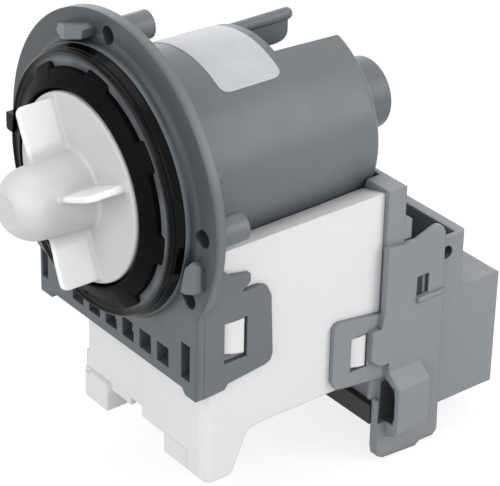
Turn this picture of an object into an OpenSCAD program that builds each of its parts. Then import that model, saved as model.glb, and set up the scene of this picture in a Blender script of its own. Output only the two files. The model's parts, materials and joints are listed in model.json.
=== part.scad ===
// Washer drain pump with a permanent-magnet motor, as separate sub-parts.
// Millimetres. Origin on the pump axis at the front face of the flange, +Y to the rear, +Z up.

/* [Flange and skirt] */
// radius of the round flange
flange_r = 45; // [42:0.5:50]
// thickness of the flange and of the skirt below it
flange_t = 3.2; // [2.6:0.1:4.5]
// radius of the circle that the screw holes lie on
screw_circle_r = 40; // [39:0.5:43]
// radius of a screw hole
screw_hole_r = 2.4; // [1.8:0.1:2.8]
// radius of the round boss behind a screw hole
boss_r = 3.8; // [3.4:0.1:4.8]
// length of the right boss behind the flange
boss_len = 8.6; // [6:0.2:18]
// length of the top boss behind the flange
top_boss_len = 8.8; // [4:0.2:14]
// length of the short boss behind the lower screw hole
short_boss_len = 4.2; // [3:0.2:8]
// distance from the pump axis to the right edge of the skirt
skirt_right = 37.5; // [37.5:0.5:40]
// distance from the pump axis to the left edge of the skirt
skirt_left = 33.4; // [30:0.2:36]
// distance from the pump axis down to the lower edge of the skirt
skirt_drop = 47.5; // [46:0.5:52]
// how far the two corner feet reach below the skirt
foot_h = 1.7; // [1:0.1:3]
// width of a square window in the skirt
vent_w = 5.1; // [3:0.1:6]
// height of a square window in the skirt
vent_h = 5.8; // [3:0.1:6.5]
// distance between the middles of neighbouring windows
vent_pitch = 7.72; // [6.5:0.02:8]
// number of square windows
vent_count = 6; // [3:1:6]

/* [Barrel] */
// outer radius of the barrel beside the flange
barrel_r = 30.2; // [29:0.1:31]
// wall thickness of the barrel
barrel_wall = 2.4; // [1.8:0.1:2.8]
// distance from the flange face to the rear end of the barrel
barrel_end = 67.6; // [66.4:0.2:70]
// distance from the flange face to the step where the upper left of the barrel stops
step_y = 45; // [44:0.5:50]
// outer radius of the nose at the rear
nose_r = 10.3; // [10:0.1:12]
// distance from the flange face to the rear end of the nose
nose_end = 87.5; // [86:0.5:92]
// distance of the rail to the left of the pump axis
rail_x = 11.9; // [10:0.1:13]
// height of the middle of the rail above the pump axis
rail_z = 24.4; // [22:0.1:25]
// width of the round head of the rail
rail_head_w = 3.5; // [2.6:0.1:4.5]
// distance from the flange face to the rear end of the rail
rail_end = 68.7; // [58:0.2:72]

/* [Seal and cover] */
// outer radius of the grey collar around the rubber seal
collar_r = 36.6; // [36.2:0.1:37.2]
// height of the collar in front of the flange
collar_h = 2.6; // [2:0.1:3.4]
// how far the black collar ring stays inside the outer radius of the grey collar
seal_band = 3.6; // [3.4:0.1:4.2]
// distance from the flange face forward to the shoulder of the collar ring
ring_front = 7; // [6.4:0.1:7.2]
// number of notches round the collar ring
notch_count = 8; // [4:1:12]
// depth of the notches
notch_depth = 2; // [1.4:0.1:2.4]

/* [Impeller] */
// gap between the impeller disc and the inner edge of the collar ring
disc_gap = 2.4; // [2:0.1:4]
// distance from the flange face forward to the front of the impeller disc
disc_front = 10.2; // [10.2:0.1:12]
// thickness of the impeller disc
disc_t = 2.2; // [1.6:0.1:2.2]
// radius of the hub where it meets the disc
hub_r = 10.6; // [10:0.1:12]
// length of the hub in front of the disc
hub_len = 21.8; // [21:0.2:26]
// number of blades
blade_count = 4; // [3:1:6]
// how far the blades stop short of the edge of the disc
blade_inset = 1.4; // [1:0.1:4]
// height of a blade in front of the disc
blade_h = 12.1; // [8:0.1:14]
// thickness of a blade
blade_t = 1.7; // [1.2:0.1:2.6]
// angle of the first blade above the right-hand side
blade_turn = 24; // [0:1:89]
// width of the driving vane and of the stop inside the hub, as an angle
dog_angle = 36; // [20:1:36]

/* [Rotor] */
// radius of the rotor shaft
shaft_r = 2; // [1.5:0.1:2.5]
// radius of the magnet
magnet_r = 11.6; // [9:0.1:11.8]
// length of the magnet
magnet_len = 28; // [20:1:34]
// inner radius of the tube of the rotor can
can_bore_r = 13.2; // [13:0.1:13.4]
// wall thickness of the rotor can
can_wall = 1.3; // [1:0.1:1.3]
// outer radius of the two bearing bushes
bush_r = 4.5; // [4:0.1:5]

/* [Coil box] */
// distance from the pump axis to the right side of the coil box
box_right = 36; // [34:0.5:36]
// distance from the pump axis to the left side of the coil box
box_left = 20; // [19.5:0.5:22]
// distance from the pump axis down to the floor of the coil box
box_floor = 64.8; // [60:0.4:70]
// distance from the flange face to the front of the coil box
box_front = 4.3; // [4.3:0.1:5.5]
// distance from the flange face to the rear of the coil box
box_rear = 63.2; // [60:0.4:66]
// wall thickness of the coil box
box_wall = 1.6; // [1.2:0.1:2]
// distance from the pump axis down to the right shoulder of the coil box
shoulder_drop = 8.8; // [8:0.2:10]
// distance from the pump axis down to the soles of the two front legs
sole_drop = 77.6; // [76:0.4:82]

/* [Stator] */
// width of a core leg
leg_w = 10; // [7:0.5:10]
// thickness of the stack of core sheets
stack_len = 24; // [16:1:24]
// height of the yoke under the coil box
yoke_h = 7.4; // [5:0.2:8]
// thickness of a winding
coil_t = 4.4; // [3:0.2:4.6]

/* [Connector housing] */
// distance from the flange face to the rear wall of the socket
socket_rear = 91.5; // [88:0.5:94]
// distance from the pump axis down to the rim of the socket
rim_drop = 29.1; // [27:0.1:32]
// distance from the flange face to the rear of the rear box
rear_box_end = 106; // [100:0.5:112]
// distance from the pump axis down to the top of the rear box
rear_box_drop = 46.5; // [44:0.5:52]
// wall thickness of the connector housing
shell_t = 1.8; // [1.5:0.1:2.2]
// distance from the pump axis down to the lower end of the latch plate
plate_drop = 92.4; // [90:0.2:94]
// distance that the hood stands out from the side of the coil box
hood_out = 7.6; // [6:0.2:9]

/* [Hidden] */
$fn = 64;

// clearance between a shaft and the bore it turns in
running = 0.03;
// clearance between faces that meet when the pump is put together
fit = 0.1;
// clearance round a part that passes through a window
pass = 0.3;
// small overlap for cuts that go right through
eps = 0.5;

grey = [0.44, 0.46, 0.475];
light_grey = [0.56, 0.565, 0.58];
white = [0.87, 0.87, 0.87];
black = [0.08, 0.08, 0.085];
steel = [0.62, 0.63, 0.65];
copper = [0.72, 0.42, 0.22];
brass = [0.8, 0.66, 0.35];

recess_y = 1.2;
seal_wall = 1.2;
collar_wall = 1.6;
collar_in = collar_r - collar_wall;
barrel_in = barrel_r - barrel_wall;
step_r = barrel_r - 0.7;
rear_r = barrel_r - 1.6;
rear_bore_r = barrel_in - 1.4;
rear_wall_y = barrel_end - barrel_wall;
cut_x = 10.5;
can_r = can_bore_r + can_wall;
sleeve_in = can_r + 0.2;
sleeve_out = sleeve_in + 2.3;

ring_r = collar_r - seal_band;
notch_r = ring_r - notch_depth;
cover_r = ring_r - 5;
disc_r = cover_r - disc_gap;
blade_r = disc_r - blade_inset;
cover_front = -ring_front;
can_flange_r = ring_r - 3;
can_flange_y = recess_y - 2;
can_end = 62;
neck_in = 6.9;
neck_r = neck_in + can_wall;
can_tip = 85.2;
o_ring_r = 1.2;
o_ring_mid = can_flange_r - 4.4;

stack_front = 19;
stack_rear = stack_front + stack_len;
stack_mid = stack_front + stack_len / 2;
pole_r = can_r + 0.4;
pole_out = barrel_in - 0.6;
leg_right = 21;
leg_left = -6;
seam_x = 6.8;
seam_step = 1.4;
corner_r = 3.4;
seam_r = 1.8;
box_gap = 0.25;
shoulder_slope = 4.1;
tube_gap = 0.2;
tube_wall = 1.2;
tube_half = leg_w / 2 + tube_gap + tube_wall;
tube_half_y = stack_len / 2 + tube_gap + tube_wall;
flange_z = -barrel_r - 3.8;
coil_half = tube_half + coil_t;
coil_half_y = tube_half_y + coil_t;
coil_bottom = -box_floor + box_wall;
yoke_top = -box_floor - 0.2;
strap_t = 3;
bar_top = yoke_top - yoke_h - 2.5;
bar_h = 6.1;
bar_front = box_rear - 1.6;
bar_rear = box_rear + 2.8;

disc_back = disc_t - disc_front;
cavity_r = 7.2;
plug_r = 8;
plug_t = 1.6;
hub_tip = -disc_front - hub_len;
shaft_front = hub_tip + 5;
cavity_front = hub_tip + 10;
dog_front = cavity_front + 0.5;
dog_rear = disc_back - plug_t - 0.5;
dog_hub_r = shaft_r + 1.6;

washer_t = 1;
bush_front_y = -5;
bush_len = 10;
bush_rear_y = 72;
shaft_rear = bush_rear_y + bush_len;
magnet_y = stack_mid - magnet_len / 2;
sleeve_t = 0.6;

clip_t = 1.5;
conn_face = box_right + clip_t;
wall_y = box_rear + 0.2;
// outer face of the plate on the right side of the connector housing
plate_face = conn_face + 1.6;
// free length behind the lower screw hole for the tip of its screw
screw_room = 2;
// depth below the pump axis of the lower edge of the socket and of the rear box
shell_drop = sole_drop + 4.7;
post_rear = 69.4;
floor_z = -58;
blade_x = [14, 25];
blade_y = 76;
wire_z = -60.5;
wire_r = 0.7;

// 2-D outline in x and z, drawn out along y
module slab_y(y0, y1) {
    translate([0, y1, 0])
        rotate([90, 0, 0])
            linear_extrude(y1 - y0)
                children();
}

// 2-D outline in y and z, drawn out along x
module slab_x(x0, x1) {
    translate([x0, 0, 0])
        rotate([90, 0, 90])
            linear_extrude(x1 - x0)
                children();
}

// 2-D outline in radius and y, turned about the pump axis
module turned() {
    rotate([-90, 0, 0])
        rotate_extrude($fn = 96)
            children();
}

// children turned about the pump axis from the right-hand side by an angle
module at_angle(a) {
    rotate([0, -a, 0])
        children();
}

// solid rod along y
module rod_y(r, y0, y1) {
    translate([0, y0, 0])
        rotate([-90, 0, 0])
            cylinder(r = r, h = y1 - y0, $fn = 64);
}

// tube along y
module tube_y(r_out, r_in, y0, y1) {
    difference() {
        rod_y(r_out, y0, y1);
        rod_y(r_in, y0 - eps, y1 + eps);
    }
}

// box given by its two opposite corners
module block(a, b) {
    translate(a)
        cube(b - a);
}

// rectangle given by its two opposite corners
module rect(a, b) {
    translate(a)
        square(b - a);
}

// rectangle with round corners
module round_rect(a, b, r) {
    rect([a.x + r, a.y], [b.x - r, b.y]);
    rect([a.x, a.y + r], [b.x, b.y - r]);
    for (x = [a.x + r, b.x - r], y = [a.y + r, b.y - r])
        translate([x, y])
            circle(r = r, $fn = 24);
}

// points of a rectangle whose corners are arcs of radius r
function round_corners(a, b, r) = [
    for (c = [[b.x - r, b.y - r, 0], [a.x + r, b.y - r, 90], [a.x + r, a.y + r, 180], [b.x - r, a.y + r, 270]])
        for (t = [0 : 15 : 90])
            [c.x + r * cos(c.z + t), c.y + r * sin(c.z + t)]
];

// wedge about the pump axis between two angles
module sector(a0, a1, r) {
    polygon([
        [0, 0],
        [r * cos(a0), r * sin(a0)],
        [r * cos(a0 * 0.67 + a1 * 0.33) * 1.1, r * sin(a0 * 0.67 + a1 * 0.33) * 1.1],
        [r * cos(a0 * 0.33 + a1 * 0.67) * 1.1, r * sin(a0 * 0.33 + a1 * 0.67) * 1.1],
        [r * cos(a1), r * sin(a1)]
    ]);
}

// angles of the three screw holes
screw_angles = [90, 0, -30];
// how far each boss reaches behind the flange
boss_lens = [top_boss_len, boss_len, short_boss_len];

module skirt_outline() {
    polygon([
        [-skirt_left, -24],
        [skirt_right, -24],
        [skirt_right, -skirt_drop - foot_h],
        [skirt_right - 4.5, -skirt_drop - foot_h],
        [skirt_right - 5.9, -skirt_drop],
        [-skirt_left + 6, -skirt_drop],
        [-skirt_left + 5.3, -skirt_drop - foot_h],
        [-skirt_left, -skirt_drop - foot_h]
    ]);
}

module skirt_windows() {
    for (i = [0 : vent_count - 1])
        translate([-15.35 + i * vent_pitch - vent_w / 2, -skirt_drop + 2.9])
            square([vent_w, vent_h]);
    rect([skirt_right - 6.3, -skirt_drop + 3], [skirt_right - 2.6, -33.8]);
    rect([-skirt_left + 0.9, -skirt_drop + 3.2], [-skirt_left + 3.6, -35]);
}

module flange_plate() {
    slab_y(0, flange_t)
        difference() {
            union() {
                circle(r = flange_r, $fn = 128);
                skirt_outline();
            }
            skirt_windows();
        }
}

// grey collar with a hollow fillet down to the flange face
module seal_collar() {
    turned()
        difference() {
            polygon([
                [collar_in - 2, 0.4],
                [collar_in - 2, -collar_h],
                [collar_r, -collar_h],
                [collar_r + collar_h, 0],
                [collar_r + collar_h, 0.4]
            ]);
            translate([collar_r + collar_h, -collar_h])
                circle(r = collar_h, $fn = 48);
        }
}

module bayonet_top() {
    intersection() {
        slab_y(-4.4, 0.4)
            polygon([[-20.9, 34.2], [-18.2, 37.4], [-6.4, 41.4], [-5, 40.6], [-5.3, 38.1], [-16, 34]]);
        translate([0, 0, 30])
            linear_extrude(14)
                polygon([[-21.5, 0.4], [-21.5, -1.4], [-13, -4.4], [-4, -4.4], [-4, 0.4]]);
    }
}

module bayonet_right() {
    intersection() {
        slab_y(-4, 0.4)
            polygon([[36, -15.4], [37.7, -8.3], [39.4, -5.9], [41, -7.2], [41, -14.4], [39.6, -15.2]]);
        translate([0, 0, -20])
            linear_extrude(20)
                polygon([[35, 0.4], [35, -4], [38.2, -4], [42, -0.6], [42, 0.4]]);
    }
}

module bayonet_tabs() {
    bayonet_top();
    bayonet_right();
    at_angle(120)
        bayonet_top();
}

module bosses() {
    for (i = [0 : 2])
        at_angle(screw_angles[i])
            translate([screw_circle_r, 0, 0])
                rod_y(boss_r, flange_t - 0.4, flange_t + boss_lens[i]);
    at_angle(19.5)
        translate([barrel_r + 5, 0, 0])
            rod_y(2.2, flange_t - 0.4, flange_t + 6);
}

module screw_holes() {
    for (i = [0 : 2])
        at_angle(screw_angles[i])
            translate([screw_circle_r, 0, 0])
                rod_y(screw_hole_r, -collar_h - 4, flange_t + boss_lens[i] + fit);
}

// triangular ribs between barrel and flange
module gussets() {
    for (a = [68, 22, 120, 160, 200])
        at_angle(a)
            translate([0, 0, -0.8])
                linear_extrude(1.6)
                    polygon([
                        [barrel_r - 1, flange_t - 0.4],
                        [barrel_r + 9, flange_t - 0.4],
                        [barrel_r + 9, flange_t + 0.6],
                        [barrel_r - 1, flange_t + 9]
                    ]);
}

module barrel_outside() {
    edge = 2;
    turned()
        union() {
            polygon([
                [0, flange_t - 0.4],
                [barrel_r, flange_t - 0.4],
                [step_r, step_y],
                [rear_r, barrel_end - edge],
                [0, barrel_end - edge]
            ]);
            rect([0, barrel_end - edge - 0.2], [rear_r - edge, barrel_end]);
            translate([rear_r - edge, barrel_end - edge])
                circle(r = edge, $fn = 32);
        }
    turned()
        union() {
            rect([0, barrel_end - 2], [nose_r - 1, nose_end]);
            rect([0, barrel_end - 2], [nose_r, nose_end - 1]);
            translate([nose_r - 1, nose_end - 1])
                circle(r = 1, $fn = 24);
            difference() {
                rect([0, barrel_end - 1], [nose_r + 1.4, barrel_end + 1.4]);
                translate([nose_r + 1.4, barrel_end + 1.4])
                    circle(r = 1.4, $fn = 24);
            }
        }
}

// space behind the step where the upper left of the barrel is open
module open_quarter() {
    slab_y(step_y, barrel_end + eps)
        difference() {
            polygon([
                [-barrel_r - 5, -1],
                [0, -1],
                [cut_x, 14],
                [cut_x, barrel_r + 2],
                [-barrel_r - 5, barrel_r + 2]
            ]);
            circle(r = sleeve_out, $fn = 64);
        }
}

// walls that close the barrel round the open quarter
module quarter_walls() {
    slab_y(step_y - 1.6, step_y)
        intersection() {
            circle(r = barrel_in + 1, $fn = 96);
            polygon([
                [-barrel_r, -3],
                [0, -3],
                [cut_x + 1.8, 14],
                [cut_x + 1.8, barrel_r],
                [-barrel_r, barrel_r]
            ]);
        }
    slab_y(step_y - 1.6, barrel_end - 1)
        intersection() {
            circle(r = rear_r - 1, $fn = 96);
            union() {
                rect([cut_x, 10], [cut_x + 1.8, barrel_r]);
                rect([-barrel_r, -2.8], [-sleeve_in, -1]);
            }
        }
}

module top_rail() {
    head_r = rail_head_w / 2;
    web_end = rail_end - head_r;
    head_y = step_y - 6;
    translate([-rail_x, head_y, rail_z])
        rotate([-90, 0, 0])
            cylinder(r = head_r, h = web_end - head_y, $fn = 32);
    translate([-rail_x, web_end, rail_z])
        sphere(r = head_r, $fn = 32);
    slab_x(-rail_x - 0.9, -rail_x + 0.9)
        polygon([
            [step_y - 1, rail_z - 7.6],
            [step_y - 1, rail_z],
            [web_end, rail_z],
            [web_end, rail_z - 4.8],
            [web_end - 0.3, rail_z - 5.9],
            [web_end - 1, rail_z - 6.7],
            [web_end - 2.2, rail_z - 7.3],
            [web_end - 4, rail_z - 7.6]
        ]);
}

// side plate that clips over the latch of a bobbin
module front_clip_outline() {
    difference() {
        polygon([
            [flange_t - 0.5, -49.2],
            [9.3, -48.8],
            [10.4, -47.3],
            [22.8, -45.9],
            [24.4, -45],
            [25, -43.1],
            [24.1, -25.4],
            [22.6, -22.2],
            [20.2, -21.3],
            [14.3, -21.3],
            [17.2, -18.9],
            [17.1, -16.6],
            [10.9, -15.4],
            [7.9, -12.6],
            [flange_t - 0.5, -12.6]
        ]);
        rect([9, -41], [16.4, -29]);
    }
}

module clips() {
    slab_x(box_right + fit, box_right + fit + clip_t)
        front_clip_outline();
    slab_x(-box_left - fit - clip_t, -box_left - fit)
        front_clip_outline();
}

module motor_housing_solid() {
    flange_plate();
    seal_collar();
    bayonet_tabs();
    bosses();
    gussets();
    clips();
    top_rail();
    difference() {
        barrel_outside();
        difference() {
            union() {
                rod_y(barrel_in, -eps, step_y - 1);
                rod_y(rear_bore_r, step_y - 1.2, rear_wall_y);
            }
            tube_y(sleeve_out, sleeve_in, step_y - 1.4, rear_wall_y + eps);
        }
        open_quarter();
    }
    difference() {
        quarter_walls();
        rod_y(sleeve_in, 0, barrel_end);
    }
}

module motor_housing() {
    color(grey)
        difference() {
            motor_housing_solid();
            screw_holes();
            rod_y(collar_in, -collar_h - eps, recess_y);
            rod_y(collar_r + fit, -collar_h - 4, -collar_h);
            rod_y(barrel_in, 0, step_y - 1.6 - eps);
            rod_y(neck_r + fit, rear_wall_y - eps, can_tip + fit);
            block([-box_left + 0.2, stack_front - 1, -barrel_r - 1], [leg_right + leg_w / 2 + pass, box_rear - 3, -8]);
        }
}

// small lug on the left of the seal
module seal_lug() {
    difference() {
        slab_y(-ring_front - 1, -ring_front + 2)
            polygon([[-ring_r - 2.9, 1.6], [-ring_r - 1, 0.4], [-ring_r + 2, 0.4], [-ring_r + 2, 7], [-ring_r - 2.9, 7]]);
        rod_y(ring_r + fit, -ring_front - 2, -ring_front + 3);
    }
}

module seal_ring() {
    color(black) {
        seal_lug();
        turned()
            polygon([
                [ring_r + fit, recess_y],
                [collar_in - fit, recess_y],
                [collar_in - fit, -collar_h],
                [collar_r - 0.3, -collar_h],
                [collar_r - 0.5, -collar_h - 0.8],
                [ring_r + 2.3, -ring_front + 0.5],
                [ring_r + 1.9, -ring_front + 0.1],
                [ring_r + 1.4, -ring_front],
                [ring_r + 0.9, -ring_front + 0.3],
                [ring_r + 0.4, -ring_front + 0.9],
                [ring_r + 0.4, -ring_front + 2.4],
                [ring_r + fit, -ring_front + 2.8]
            ]);
    }
}

// space between the teeth round the front of the collar ring
module ring_notches() {
    slab_y(-ring_front - 5, -ring_front + 2.8)
        difference() {
            circle(r = ring_r + 2, $fn = 96);
            circle(r = notch_r, $fn = 96);
            for (i = [0 : notch_count - 1])
                rotate(-9 + i * 360 / notch_count)
                    sector(-7.5, 7.5, ring_r + 6);
        }
}

module collar_ring() {
    color(black)
        difference() {
            turned()
                polygon([
                    [can_flange_r, recess_y],
                    [ring_r, recess_y],
                    [ring_r, -ring_front],
                    [cover_r - 1, -ring_front - 2.8],
                    [cover_r - 1.6, -ring_front - 2.8],
                    [cover_r - 1.6, cover_front],
                    [cover_r, cover_front],
                    [cover_r, can_flange_y],
                    [can_flange_r, can_flange_y]
                ]);
            ring_notches();
        }
}

module front_cover() {
    color(black)
        turned()
            polygon([
                [bush_r, -ring_front - 0.3],
                [bush_r + 2.4, -ring_front - 0.3],
                [bush_r + 3, cover_front],
                [cover_r, cover_front],
                [cover_r, can_flange_y - 2 * o_ring_r],
                [cover_r - 4.6, can_flange_y - 2 * o_ring_r],
                [cover_r - 4.6, cover_front + 2],
                [can_bore_r - 0.1, cover_front + 2],
                [can_bore_r - 0.1, recess_y + 2],
                [can_bore_r - 1.8, recess_y + 2],
                [can_bore_r - 1.8, cover_front + 2],
                [bush_r + 2.4, cover_front + 2],
                [bush_r + 2.4, bush_front_y + bush_len],
                [bush_r, bush_front_y + bush_len]
            ]);
}

module can_o_ring() {
    color(black)
        turned()
            translate([o_ring_mid, can_flange_y - o_ring_r])
                circle(r = o_ring_r, $fn = 24);
}

module rotor_can() {
    color(steel)
        turned()
            polygon([
                [can_bore_r, can_flange_y],
                [can_flange_r, can_flange_y],
                [can_flange_r, recess_y],
                [can_r, recess_y],
                [can_r, can_end + can_wall],
                [neck_r, can_end + can_wall],
                [neck_r, can_tip],
                [0, can_tip],
                [0, can_tip - can_wall],
                [neck_in, can_tip - can_wall],
                [neck_in, can_end],
                [can_bore_r, can_end]
            ]);
}

module bush(y0) {
    tube_y(bush_r, shaft_r + running, y0, y0 + bush_len);
}

module front_bearing() {
    color(brass)
        bush(bush_front_y);
}

module rear_bearing() {
    color(brass)
        bush(bush_rear_y);
}

module rear_bearing_cup() {
    color(black)
        turned()
            polygon([
                [bush_r, bush_rear_y],
                [bush_r, bush_rear_y + bush_len],
                [3, bush_rear_y + bush_len],
                [3, can_tip - can_wall],
                [neck_in, can_tip - can_wall],
                [neck_in, bush_rear_y]
            ]);
}

module core_outline() {
    difference() {
        union() {
            intersection() {
                circle(r = pole_out, $fn = 96);
                rect([-box_left + 0.6, -pole_out], [leg_right + leg_w / 2, pole_out]);
                union() {
                    sector(-60, 60, 60);
                    sector(120, 240, 60);
                }
            }
            rect([leg_right - leg_w / 2, yoke_top - 1], [leg_right + leg_w / 2, 0]);
            rect([leg_left - leg_w / 2, yoke_top - 1], [leg_left + leg_w / 2, -10]);
            rect([leg_left - leg_w / 2, yoke_top - yoke_h], [leg_right + leg_w / 2, yoke_top]);
        }
        circle(r = pole_r, $fn = 96);
    }
}

module stator_core() {
    color(steel)
        slab_y(stack_front, stack_rear)
            core_outline();
}

// black bar at the rear of the core with a tongue under the yoke
module core_strap() {
    strap_top = yoke_top - yoke_h;
    color(black) {
        block([-14, bar_front, bar_top - bar_h], [box_right, bar_rear, bar_top]);
        block([2, stack_front + 6, strap_top - strap_t], [14, bar_front + 0.4, strap_top]);
    }
}

module box_outline() {
    difference() {
        polygon([
            [-box_left, -box_floor],
            [box_right, -box_floor],
            [box_right, -shoulder_drop],
            [box_right - 16, -shoulder_drop - shoulder_slope],
            [-box_left, -shoulder_drop - shoulder_slope]
        ]);
        circle(r = rear_r, $fn = 128);
    }
}

module box_inside_outline() {
    difference() {
        polygon([
            [-box_left + box_wall, -box_floor + box_wall],
            [box_right - box_wall, -box_floor + box_wall],
            [box_right - box_wall, -shoulder_drop - box_wall - 0.4],
            [box_right - 16, -shoulder_drop - shoulder_slope - box_wall],
            [-box_left + box_wall, -shoulder_drop - shoulder_slope - box_wall]
        ]);
        circle(r = barrel_r + box_gap + box_wall, $fn = 128);
    }
}

// the barrel with the gap that the coil box keeps from it
module barrel_clearance() {
    turned()
        polygon([
            [0, -1],
            [barrel_r + box_gap, -1],
            [barrel_r + box_gap, flange_t],
            [step_r + box_gap, step_y],
            [rear_r + box_gap, barrel_end],
            [0, barrel_end]
        ]);
}

// upright column with round front corners that a half of the coil box is cut to
module footprint(x0, x1, front, r0, r1) {
    translate([0, 0, -sole_drop - 1])
        linear_extrude(sole_drop + 1)
            union() {
                rect([x0, front + max(r0, r1)], [x1, box_rear + 1]);
                rect([x0 + r0, front], [x1 - r1, front + max(r0, r1) + 1]);
                translate([x0 + r0, front + r0])
                    circle(r = r0, $fn = 32);
                translate([x1 - r1, front + r1])
                    circle(r = r1, $fn = 32);
                rect([x0, front + r0], [x0 + r0, front + max(r0, r1) + 1]);
                rect([x1 - r1, front + r1], [x1, front + max(r0, r1) + 1]);
            }
}

// hollow half of the coil box with the tube that the winding sits on
module bobbin_half(x0, x1, leg_x, front) {
    difference() {
        union() {
            difference() {
                slab_y(front, box_rear)
                    intersection() {
                        box_outline();
                        rect([x0, -box_floor - 1], [x1, 0]);
                    }
                slab_y(front + box_wall, box_rear - box_wall)
                    intersection() {
                        box_inside_outline();
                        rect([x0 + box_wall, -box_floor], [x1 - box_wall, 0]);
                    }
            }
            slab_y(stack_mid - tube_half_y, stack_mid + tube_half_y)
                intersection() {
                    box_outline();
                    rect([leg_x - tube_half, -box_floor], [leg_x + tube_half, 0]);
                }
            block(
                [x0 + box_wall / 2, front + box_wall / 2, flange_z],
                [x1 - box_wall / 2, box_rear - box_wall / 2, flange_z + box_wall]
            );
        }
        block(
            [leg_x - leg_w / 2 - tube_gap, stack_front - tube_gap, -box_floor - 1],
            [leg_x + leg_w / 2 + tube_gap, stack_rear + tube_gap, 0]
        );
        barrel_clearance();
    }
}

// wedge that snaps into the window of a clip, low at y0 and high at y1
module latch(y0, y1, z_low, z_lower, z_top) {
    intersection() {
        slab_x(box_right - 0.4, box_right + clip_t)
            polygon([[y0, z_low], [y1, z_lower], [y1, z_top], [y0, z_top]]);
        translate([0, 0, z_lower - 1])
            linear_extrude(z_top - z_lower + 2)
                polygon([
                    [box_right - 0.4, y0 - 1],
                    [box_right + 0.6, y0],
                    [box_right + clip_t - 0.1, y0 + 2.6],
                    [box_right + clip_t - 0.1, y1 - 0.4],
                    [box_right + clip_t - 0.5, y1 + 0.1],
                    [box_right - 0.4, y1 + 0.1]
                ]);
    }
}

module front_latch() {
    latch(9.3, 15.8, -38.4, -39.8, -29.4);
}

module rear_latch() {
    latch(52.6, 57.8, -58.8, -59.5, -49.7);
}

module right_leg() {
    difference() {
        slab_x(17, box_right)
            polygon([
                [box_front, -box_floor + 1],
                [box_front, -sole_drop + 1],
                [box_front + 1, -sole_drop],
                [12.6, -sole_drop],
                [13.6, -sole_drop + 0.8],
                [17.9, -box_floor - 1.6],
                [19.6, -box_floor - 0.4],
                [22.4, -box_floor],
                [22.4, -box_floor + 1]
            ]);
        block([19, box_front + box_wall, -sole_drop - 1], [box_right - 1.8, 13, -box_floor - 1]);
        block([16, box_front - 1, -sole_drop - 1], [28.4, box_front + 0.9, -70.6]);
    }
}

module left_leg() {
    block([-box_left, box_front + seam_step, -70], [-8.2, box_front + 6.5, -box_floor + 1]);
    difference() {
        block([-box_left, box_front, -sole_drop], [-8.2, box_front + 6.5, -69]);
        block([-box_left - 1, box_front - 1, -70], [-17, box_front + 0.7, -68]);
        block([-box_left + 1.8, box_front + 1.8, -sole_drop - 1], [-8.8, box_front + 4.9, -box_floor - 1]);
    }
}

module bobbin_left() {
    front = box_front + seam_step;
    color(white)
        union() {
            intersection() {
                union() {
                    bobbin_half(-box_left, seam_x, leg_left, front);
                    block([-8.3, front, -71.3], [1, front + box_wall, -box_floor + 1]);
                    block([0, front, -69], [seam_x, front + box_wall, -box_floor + 1]);
                }
                footprint(-box_left, seam_x, front, seam_r, 0.2);
            }
            intersection() {
                left_leg();
                footprint(-box_left, 0, box_front, seam_r, 0.2);
            }
            mirror([1, 0, 0])
                translate([box_left - box_right, 0, 0]) {
                    front_latch();
                    rear_latch();
                }
        }
}

module bobbin_right() {
    color(white)
        difference() {
            union() {
                intersection() {
                    union() {
                        bobbin_half(seam_x + fit, box_right, leg_right, box_front);
                        right_leg();
                        block([seam_x + fit, box_front, -70.6], [18, box_front + box_wall, -box_floor + 1]);
                    }
                    footprint(seam_x + fit, box_right, box_front, seam_r, corner_r);
                }
                front_latch();
                rear_latch();
            }
            for (x = blade_x)
                translate([x, 0, wire_z])
                    rod_y(wire_r + fit, box_rear - box_wall - eps, box_rear + eps);
            block([29.6, 0, -25], [box_right + 1, flange_t + short_boss_len + screw_room, -15]);
            block(
                [leg_right - leg_w / 2 - tube_gap, stack_front - tube_gap, -sole_drop],
                [leg_right + leg_w / 2 + tube_gap, stack_rear, -box_floor + 2]
            );
            block([0, stack_front - tube_gap, -sole_drop], [leg_right, stack_rear, -box_floor]);
        }
}

module winding(leg_x) {
    translate([0, 0, coil_bottom])
        linear_extrude(flange_z - coil_bottom)
            difference() {
                round_rect(
                    [leg_x - coil_half, stack_mid - coil_half_y],
                    [leg_x + coil_half, stack_mid + coil_half_y],
                    coil_t
                );
                rect(
                    [leg_x - tube_half, stack_mid - tube_half_y],
                    [leg_x + tube_half, stack_mid + tube_half_y]
                );
            }
}

module coil_left() {
    color(copper)
        winding(leg_left);
}

module coil_right() {
    color(copper)
        winding(leg_right);
}

module thermal_protector() {
    protector_y = stack_mid + coil_half_y;
    color(black)
        block([leg_left - 6, protector_y, -52], [leg_left + 6, protector_y + 4, -46]);
}

module lead_wires() {
    color(copper)
        for (x = blade_x)
            translate([x, 0, wire_z])
                rod_y(wire_r, stack_mid + coil_half_y, blade_y);
}

module terminal_blades() {
    color(brass)
        for (x = blade_x)
            block([x - 0.4, blade_y, floor_z - 4], [x + 0.4, blade_y + 6.3, -40]);
}

// low wall behind the coil box, shaped round the barrel
module back_wall() {
    slab_y(wall_y, wall_y + shell_t)
        difference() {
            rect([-18.4, -73.7], [conn_face, -12]);
            circle(r = barrel_r + 0.3, $fn = 96);
        }
}

module post() {
    difference() {
        union() {
            block([22, wall_y - 0.3, -26], [conn_face, post_rear, -shoulder_drop + 0.8]);
            block([34, post_rear - 1, -24.4], [conn_face, 71.9, -18.6]);
        }
        rod_y(rear_r + 0.6, wall_y - 2, barrel_end + 0.2);
        block([0, wall_y - 2, -60], [box_right + 0.1, box_rear + 0.1, 0]);
    }
}

// plan of the rim behind the socket, with its right corner round
module rim_outline() {
    r = 2.4;
    rear = socket_rear + 1.4;
    rect([0, socket_rear - 3.4], [conn_face - r, rear]);
    rect([0, socket_rear - 3.4], [conn_face, rear - r]);
    translate([conn_face - r, rear - r])
        circle(r = r, $fn = 32);
}

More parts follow.
